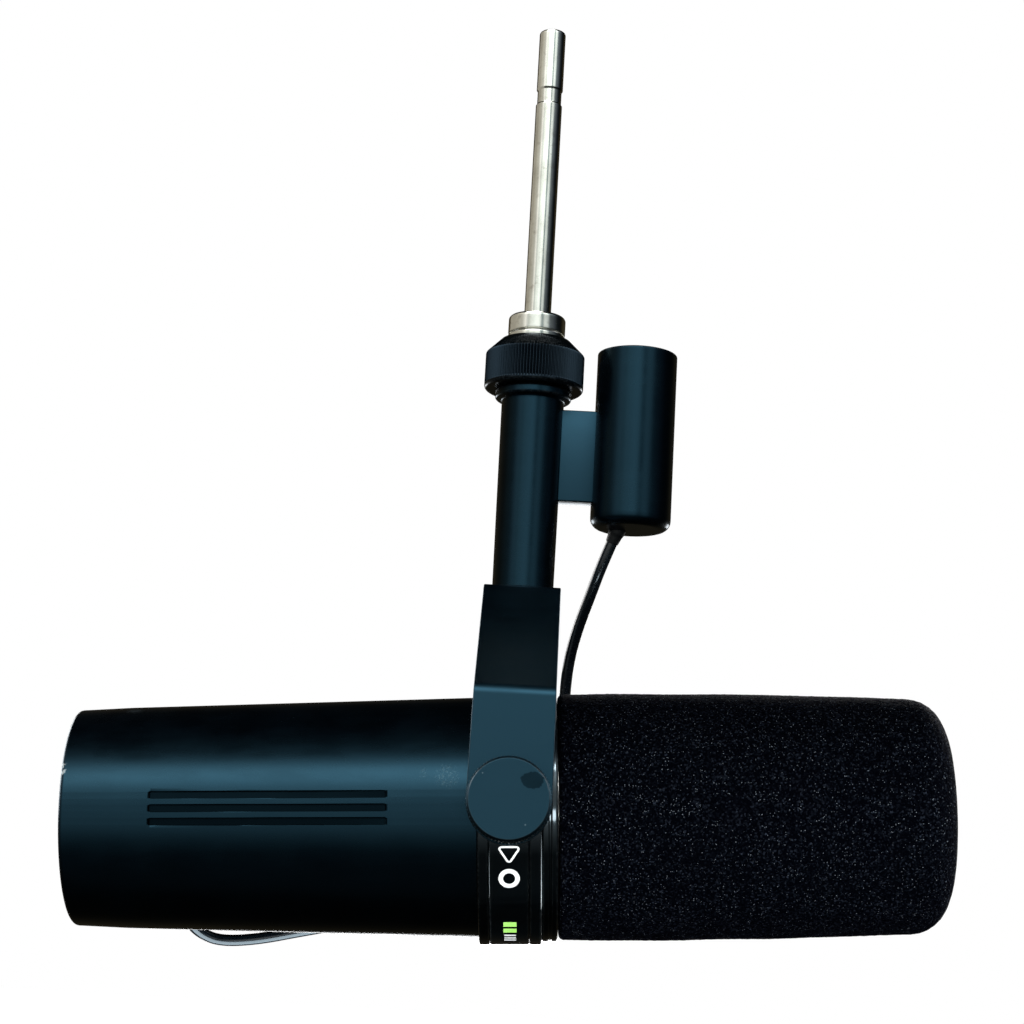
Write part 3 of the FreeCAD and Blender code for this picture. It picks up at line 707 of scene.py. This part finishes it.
def make_casing():
    def grooved(along, radius, angle):
        near = math.cos(angle) > 0.9 and -80 < along < -25 and radius > 24.6
        return radius - (groove_depth(along, radius * math.sin(angle)) if near else 0)

    fine = [-0.17, -0.13, -0.10, -0.07, -0.04, -0.01, 0.05, 0.3]
    heights = sorted(side * (middle + GROOVE_HALF * way) + side * way * step
                     for middle in GROOVE_HEIGHTS[1:] for way in (-1, 1) for step in fine
                     for side in (-1, 1))
    angles = [math.asin(height / 25.6) for height in heights if abs(height) < 5]
    step = math.radians(1.0)
    rest = angles[-1] + step
    while rest < 2 * math.pi + angles[0] - step / 2:
        angles.append(rest)
        rest += step
    stations = [-14, -20, -25.2, -25.9, -79.1, -79.8] + [-28 - 4 * k for k in range(13)]
    for k in range(-2, 18):
        stations += [GROOVE_FRONT + 0.06 * k, GROOVE_BACK - 0.06 * k]
    shell = lathe([(-7.0, 26.9, 0.2), (-86.0, 24.75, 60), (-98.0, 24.15, 1.3),
                   (-98.0, 21.95, 0.4), (-93.0, 21.95), (-93.0, 18.6), (-88.6, 18.6),
                   (-86.6, 22.6), (-14.4, 24.5), (-7.0, 24.5)], "x", form=grooved,
                  stations=stations, angles=angles)
    casing = piece("tapered_casing", shell, MICROPHONE, "microphone", "black_paint",
                   ["rear_casing"], CASING_PAINT)
    casing.data.materials.append(GROOVE_PAINT)
    casing.modifiers.new("even_normals", "WEIGHTED_NORMAL").keep_sharp = True
    for face in casing.data.polygons:
        spot = face.center / MM
        sunk = groove_depth(spot.x, spot.z) > GROOVE_DEPTH / 2
        if spot.y < 0 and sunk and spot.yz.length > 24.4:
            face.material_index = 1


GLAND_STATION = -76.2
GLAND_ANGLE = 48.0            # from straight down towards the far side
GLAND_TIP_R = 28.5


def make_gland():
    boot = lathe([(20.8, 0), (20.8, 3.2), (25.2, 3.2, 0.25), (25.6, 2.75, 0.15),
                  (26.3, 2.75, 0.15), (26.5, 2.4, 0.1), (27.2, 2.4, 0.15), (27.4, 2.1, 0.1),
                  (GLAND_TIP_R, 1.7, 0.25), (GLAND_TIP_R, 0)], "z", 48)
    tip = Matrix.Rotation(math.radians(GLAND_ANGLE - 180), 4, "X")
    where = MICROPHONE @ Matrix.Translation((GLAND_STATION * MM, 0, 0)) @ tip
    return piece("lead_gland_boot", boot, where, "microphone", "black_rubber", ["lead_gland"])


def make_rings():
    bore = 27.45
    shapes = (
        ("rear_flange", "casing_flange", [(-6.95, bore), (-6.95, 28.75, 0.35),
                                          (-4.55, 28.75, 0.3), (-4.55, bore)]),
        ("name_band", "label_band", [(-4.5, bore), (-4.5, 28.72, 0.35), (4.2, 28.72, 0.35),
                                     (4.2, bore)]),
        ("front_trim", "trim_ring", [(4.25, bore), (4.25, 28.75, 0.3), (6.95, 28.75, 0.35),
                                     (6.95, bore)]),
        ("screen_ring", "front_ring", [(7.0, 19.85), (7.0, 28.05, 0.5), (8.4, 28.05, 0.1),
                                       (8.6, 27.8, 0.1), (9.0, 27.8, 0.1), (9.2, 28.05, 0.1),
                                       (10.5, 28.05, 0.5), (10.5, 19.85)]),
    )
    for name, node, outline in shapes:
        piece(name, lathe(outline, "x", 240), MICROPHONE, "microphone", "gloss_black", [node])


# ------------------------------------------------------------------ marks on the band

MARK_R = 28.735
MARK_THICK = 0.02


def wrapped(loops, closed=True):
    """Thin raised ink between loops of (along, around) points, wrapped on the band."""
    verts, faces = [], []
    count = len(loops[0])
    for lift in (0.0, MARK_THICK):
        for loop in loops:
            for along, around in loop:
                verts.append(PLACES["x"](along, MARK_R + lift, -around / MARK_R))
    layer = count * len(loops)
    spans = range(count) if closed else range(count - 1)
    for level in range(len(loops) - 1):
        for k in spans:
            n = (k + 1) % count
            quad = [level * count + k, level * count + n, (level + 1) * count + n,
                    (level + 1) * count + k]
            faces.append(quad)
            faces.append([index + layer for index in reversed(quad)])
    for level in (0, len(loops) - 1):
        for k in spans:
            n = (k + 1) % count
            low, high = level * count + k, level * count + n
            faces.append([low, high, high + layer, low + layer])
    if not closed:
        for k in (0, count - 1):
            for level in range(len(loops) - 1):
                low, high = level * count + k, (level + 1) * count + k
                faces.append([low, high, high + layer, low + layer])
    return verts, faces, [0.0] * len(verts)


def round_loop(along, around, radius, sides=48):
    return [(along + radius * math.cos(2 * math.pi * k / sides),
             around + radius * math.sin(2 * math.pi * k / sides)) for k in range(sides)]


def triangle_loop(along, around, size, corner):
    """A rounded triangle with its point downwards."""
    loop = []
    for start in (30, 150, 270):
        middle = math.radians(start)
        for k in range(9):
            angle = math.radians(start - 60 + 120 * k / 8)
            loop.append((along + 1.14 * (size * math.cos(middle) + corner * math.cos(angle)),
                         around - size * math.sin(middle) - corner * math.sin(angle)))
    return loop


def bar(low, high, half):
    """A stroke across the band between two distances around it."""
    rows = [low + (high - low) * k / 4 for k in range(5)]
    return wrapped([[(-half, row) for row in rows], [(half, row) for row in rows]], False)


def make_marks():
    def around(degrees):
        return math.radians(degrees) * MARK_R

    emblem = wrapped([triangle_loop(-0.1, around(19.9), 1.6, 0.62),
                      triangle_loop(-0.1, around(19.9), 1.6, 0.22)])
    disc = wrapped([round_loop(-0.1, around(31.8), radius) for radius in (2.3, 1.3)])
    strokes = joined(*[bar(around(start), around(start + 1.6), 1.3)
                       for start in (68.0, 71.0, 74.0)])
    green = joined(bar(around(57.0), around(60.6), 1.45), bar(around(62.2), around(65.8), 1.45))
    for name, shape, ink in (("band_triangle", emblem, WHITE_INK), ("band_disc", disc, WHITE_INK),
                             ("band_strokes", strokes, WHITE_INK),
                             ("band_green_bars", green, GREEN_INK)):
        piece(name, shape, MICROPHONE, "microphone", "switch_white", finish=ink)


# ------------------------------------------------------------------ rear panel

def make_rear_panel():
    for name, (y, z) in {"bass_switch": (7.0, 4.8), "presence_switch": (-7.0, 4.8),
                         "bypass_switch": (7.0, -4.8), "gain_switch": (-7.0, -4.8)}.items():
        toggle = joined(slab((-94.2, y - 2.5, z - 1.1), (-92.9, y + 0.5, z + 1.1), 0.15),
                        slab((-95.3, y - 1.7, z - 0.9), (-94.1, y - 0.3, z + 0.9), 0.2))
        piece(name + "_lever", toggle, MICROPHONE, name, "switch_white", [name])


# ------------------------------------------------------------------ foam

def make_foam():
    def dented(along, radius, angle):
        if radius < 21.5 and along < 95:
            return radius
        spot = Vector(PLACES["x"](along, radius, angle))
        broad = noise.noise(spot * 0.07) * 0.16
        dent = noise.noise(spot * 0.23 + Vector((9, 4, 2)))
        fine = noise.noise(spot * 1.1) * 0.07 + noise.noise(spot * 2.3) * 0.05
        return radius + (broad - 0.25 * max(0.0, dent - 0.35) + fine) * min(1, radius / 6)

    stations = [11.5 + 0.45 * k for k in range(200)]
    foam = lathe([(10.75, 20.7), (10.75, 27.5, 1.2), (22.0, 27.75, 80), (58.0, 27.4, 160),
                  (97.4, 26.2, 14.0), (98.5, 10.0, 10.0), (98.6, 0), (93.6, 0),
                  (93.6, 20.7, 4.0)],
                 "x", 384, form=dented, stations=stations)
    screen = piece("foam_screen", foam, MICROPHONE, "windscreen", "foam",
                   ["foam_windscreen"], smooth=60)


# ------------------------------------------------------------------ lead

LEAD_R = 1.35
LEAD_GAP = 0.06
LEAD_ROUTE = [
    (18.0, 4.9, 59.6), (15.9, 9.2, 53.4), (13.6, 15.0, 47.0), (11.9, 21.6, 40.4),
    (11.2, 28.0, 33.0), (11.5, 32.4, 24.0), (11.7, 34.3, 14.2), (10.8, 34.7, 4.2),
    (7.6, 34.6, -5.2), (1.4, 34.2, -12.8), (-7.0, 33.4, -18.0), (-16.6, 32.6, -21.2),
    (-27.2, 31.9, -23.2), (-38.0, 31.5, -25.0), (-48.6, 31.2, -27.4), (-58.8, 30.8, -29.9),
    (-67.4, 29.8, -30.8), (-72.0, 27.9, -29.3), (-74.84, 24.7, -26.45),
]


def make_lead():
    start = GROMMET_ROOT + GROMMET_LEAN * (GROMMET_LENGTH + LEAD_GAP)
    angle = math.radians(GLAND_ANGLE)
    reach = GLAND_TIP_R + LEAD_GAP
    end = PIVOT + (MICROPHONE.to_3x3() @ Vector(
        (GLAND_STATION, reach * math.sin(angle), -reach * math.cos(angle)))) * MM
    route = [PIVOT + start * MM] + [PIVOT + Vector(p) * MM for p in LEAD_ROUTE] + [end]
    curve = bpy.data.curves.new("lead_route", "CURVE")
    curve.dimensions = "3D"
    spline = curve.splines.new("NURBS")
    spline.points.add(len(route) - 1)
    for point, place in zip(spline.points, route):
        point.co = (*place, 1)
    spline.order_u = 3
    spline.use_endpoint_u = True
    spline.resolution_u = 14
    guide = bpy.data.objects.new("lead_route", curve)
    line = [vert.co.copy() for vert in bpy.data.meshes.new_from_object(guide).vertices]
    bpy.data.objects.remove(guide)

    sides, verts, faces = 20, [], []
    forward = (line[1] - line[0]).normalized()
    across = forward.orthogonal().normalized()
    for i, spot in enumerate(line):
        ahead = (line[min(i + 1, len(line) - 1)] - line[max(i - 1, 0)]).normalized()
        across = (across - ahead * across.dot(ahead)).normalized()
        upward = ahead.cross(across)
        for k in range(sides):
            turn = 2 * math.pi * k / sides
            ring = across * math.cos(turn) + upward * math.sin(turn)
            verts.append(spot / MM + ring * LEAD_R)
        if i:
            low, high = (i - 1) * sides, i * sides
            for k in range(sides):
                n = (k + 1) % sides
                faces.append([low + k, low + n, high + n, high + k])
    last = len(verts) - sides
    faces += [list(range(sides))[::-1], list(range(last, last + sides))]
    mesh = make_mesh("signal_lead_jacket", (verts, faces, [0.0] * len(verts)), 50)
    lead = bpy.data.objects.new("signal_lead_jacket", mesh)
    bpy.context.scene.collection.objects.link(lead)
    mesh.materials.append(FINISHES["lead_jacket"])
    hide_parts("signal_lead")
    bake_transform(lead)


# ------------------------------------------------------------------ stage and light

FLOOR_DROP = 130.0            # below the tilt axis, clear of the microphone at full tilt


def make_floor():
    half = 9.0
    mesh = bpy.data.meshes.new("floor")
    mesh.from_pydata([(-half, -half, 0), (half, -half, 0), (half, half, 0), (-half, half, 0)],
                     [], [(0, 1, 2, 3)])
    floor = bpy.data.objects.new("floor", mesh)
    floor.location = PIVOT - Vector((0, 0, FLOOR_DROP * MM))
    bpy.context.scene.collection.objects.link(floor)
    f = Finish("pale_floor", gloss=0.1)
    cloud = f.grain(400, 3)
    mesh.materials.append(f.done(f.mix(f.between(cloud, 0, 1), (0.84, 0.84, 0.84),
                                       (0.87, 0.87, 0.87)), f.between(cloud, 0.85, 0.95)))
    f.shader.inputs["Emission Color"].default_value = (1, 1, 1, 1)
    f.shader.inputs["Emission Strength"].default_value = 0.8
    floor.visible_glossy = False
    floor.visible_diffuse = False
    floor.visible_shadow = False


def make_lamp(name, place, aim_at, size, energy, only=None, tint=(1, 1, 1)):
    data = bpy.data.lights.new(name, "AREA")
    data.color = tint
    data.shape = "DISK"
    data.size = size
    data.energy = energy
    lamp = bpy.data.objects.new(name, data)
    lamp.location = PIVOT + Vector(place)
    lamp.rotation_euler = (PIVOT + Vector(aim_at) - lamp.location).to_track_quat(
        "-Z", "Y").to_euler()
    bpy.context.scene.collection.objects.link(lamp)
    if only:
        receivers = bpy.data.collections.new(name + "_lights")
        for target in only:
            receivers.objects.link(bpy.data.objects[target])
        lamp.light_linking.receiver_collection = receivers


def make_lamps():
    """Soft boxes over, behind and beside the object, and cards for single pieces.

    Each lights only the pieces it names."""
    metals = ["polished_rod", "polished_collar", "polished_adapter"]
    upright = ["painted_stem", "painted_barrel", "ribbed_nut"]
    level = [thing.name for thing in bpy.context.scene.objects
             if thing.type == "MESH" and thing.name not in metals + upright + ["floor"]]
    make_lamp("overhead_softbox", (-0.3, -0.4, 2.2), (0, 0, 0), 1.6, 30, ["floor"] + metals)
    make_lamp("rear_softbox", (0, 2.0, -0.02), (0, 0, 0), 0.85, 9, level + metals)
    for side in (-1, 1):
        make_lamp("rear_upright_card", (side * 1.0, 1.75, -0.2), (0, 0, 0), 0.5, 4, upright)
        make_lamp("rear_side_softbox", (side * 1.4, 1.4, 0.6), (0, 0, 0), 1.2, 14, level)
    make_lamp("front_end_softbox", (1.8, 0.2, 0.5), (0, 0, 0), 1.0, 8, level)
    make_lamp("rear_end_softbox", (-1.9, 0.5, 0.4), (0, 0, 0), 1.0, 8, level)
    make_lamp("foam_end_card", (1.5, -0.1, 0.3), (0, 0, 0), 0.9, 22, ["foam_screen"])
    make_lamp("foam_rear_card", (0.4, 1.2, 0.35), (0, 0, 0), 0.9, 20, ["foam_screen"])
    make_lamp("low_front_card", (0.25, -1.0, -0.65), (0, 0, 0), 0.9, 20,
              ["foam_screen", "band_triangle", "band_disc", "band_strokes", "band_green_bars"])
    make_lamp("metal_side_card", (-1.0, 0.0, 0.15), (0, 0, 0.12), 2.2, 4.2,
              metals, (1.0, 0.95, 0.85))
    rings = ["rear_flange", "name_band", "front_trim", "screen_ring"]
    make_lamp("window_high", (0.05, -1.1, 0.95), (0, 0, 0), 0.18, 3.0, rings)
    make_lamp("window_level", (0.05, -1.4, -0.08), (0, 0, 0), 0.24, 3.0, rings)
    make_lamp("left_edge_card", (-1.1, 0.25, -0.45), (0, 0, -0.01), 0.9, 55, ["name_band"])
    make_lamp("right_edge_card", (1.1, 0.25, -0.45), (0, 0, -0.01), 0.9, 34, ["front_trim"])
    make_lamp("under_card", (-0.02, -0.08, -0.36), (-0.045, 0.03, -0.03), 0.5, 4.0,
              ["signal_lead_jacket"], (0.72, 0.89, 1.0))


def make_world():
    """Studio surroundings by direction: soft front key, pale left, dim warm room behind."""
    world = bpy.data.worlds.new("studio")
    bpy.context.scene.world = world
    world.use_nodes = True
    nodes, links = world.node_tree.nodes, world.node_tree.links
    nodes.clear()

    def node(kind, inputs, output=0, **settings):
        return add_node(world.node_tree, kind, inputs, output, **settings)

    def ramp(value, stops):
        made = nodes.new("ShaderNodeValToRGB")
        links.new(value, made.inputs[0])
        elements = made.color_ramp.elements
        while len(elements) < len(stops):
            elements.new(0.5)
        for element, (position, _) in zip(elements, stops):
            element.position = position
        for element, (_, colour) in zip(elements, stops):
            element.color = (*(colour if isinstance(colour, tuple) else (colour,) * 3), 1)
        return made.outputs[0]

    way = nodes.new("ShaderNodeTexCoord").outputs["Generated"]
    x, y, z = [node("SeparateXYZ", {0: way}, index) for index in range(3)]
    back = node("Math", {0: y, 1: -1.0}, operation="MULTIPLY")
    azimuth = node("Math", {0: x, 1: back}, operation="ARCTAN2")
    around = node("MapRange", {"Value": azimuth, "From Min": -math.pi, "From Max": math.pi})
    height = node("Math", {0: z, 1: 0.0}, operation="ARCSINE")
    climb = node("MapRange", {"Value": height, "From Min": -math.pi / 2,
                              "From Max": math.pi / 2})

    def turn(degrees):
        return (degrees + 180) / 360

    def tilt(degrees):
        return (degrees + 90) / 180

    sides = ramp(around, [
        (turn(-180), 0.0), (turn(-100), 0.0), (turn(-84), (0.07, 0.065, 0.055)),
        (turn(-62), (0.09,) * 3), (turn(-44), (0.40,) * 3),
        (turn(-33), (0.30, 0.32, 0.31)), (turn(-27), (0.48, 0.50, 0.49)),
        (turn(-12), (0.50, 0.53, 0.53)), (turn(0), (0.60, 0.63, 0.63)),
        (turn(12), (0.56, 0.59, 0.59)), (turn(17), (0.12, 0.15, 0.16)),
        (turn(24), (0.13, 0.16, 0.17)), (turn(30), (0.40, 0.42, 0.42)),
        (turn(44), (0.30, 0.33, 0.34)), (turn(52), (0.06, 0.07, 0.08)),
        (turn(76), (0.02, 0.024, 0.03)), (turn(90), (0.003, 0.004, 0.005)),
        (turn(118), 0.0), (turn(180), 0.0)])
    levels = ramp(climb, [
        (tilt(-60), 0.01), (tilt(-38), 0.01), (tilt(-24), 0.07), (tilt(-10), 0.20),
        (tilt(8), 0.22), (tilt(18), 0.29), (tilt(26), 0.55), (tilt(32), 1.0), (tilt(42), 1.0),
        (tilt(50), 0.22), (tilt(58), 0.03), (tilt(85), 0.004)])
    light = node("Mix", {0: 1.0, 6: sides, 7: levels}, 2, data_type="RGBA",
                 blend_type="MULTIPLY")
    room = ramp(around, [
        (turn(-180), (0.0040, 0.0034, 0.0022)), (turn(-150), (0.009, 0.007, 0.004)),
        (turn(-100), (0.008, 0.006, 0.004)), (turn(-84), 0.0), (turn(110), 0.0),
        (turn(140), (0.006, 0.005, 0.003)), (turn(180), (0.0040, 0.0034, 0.0022))])
    walls = ramp(climb, [(tilt(-50), 0.1), (tilt(-20), 0.9), (tilt(20), 1.0), (tilt(38), 0.1),
                         (tilt(60), 0.0)])
    warm = node("Mix", {0: 1.0, 6: room, 7: walls}, 2, data_type="RGBA", blend_type="MULTIPLY")
    light = node("Mix", {0: 1.0, 6: light, 7: warm}, 2, data_type="RGBA", blend_type="ADD")
    surroundings = node("Background", {"Color": light, "Strength": 7.0})
    backdrop = node("Background", {"Color": (1, 1, 1, 1), "Strength": 1.0})
    seen = nodes.new("ShaderNodeLightPath").outputs["Is Camera Ray"]
    shader = node("MixShader", {0: seen, 1: surroundings, 2: backdrop})
    output = nodes.new("ShaderNodeOutputWorld")
    links.new(shader, output.inputs["Surface"])


# ------------------------------------------------------------------ build

make_camera()
dress_frame()
make_rod()
make_nut()
make_stem()
boot = make_grommet()
make_strap()
make_tilt_hardware()
make_casing()
gland = make_gland()
make_rings()
make_marks()
make_rear_panel()
make_foam()
make_lead()
make_floor()
make_lamps()
make_world()
bpy.context.scene.view_settings.view_transform = "Standard"
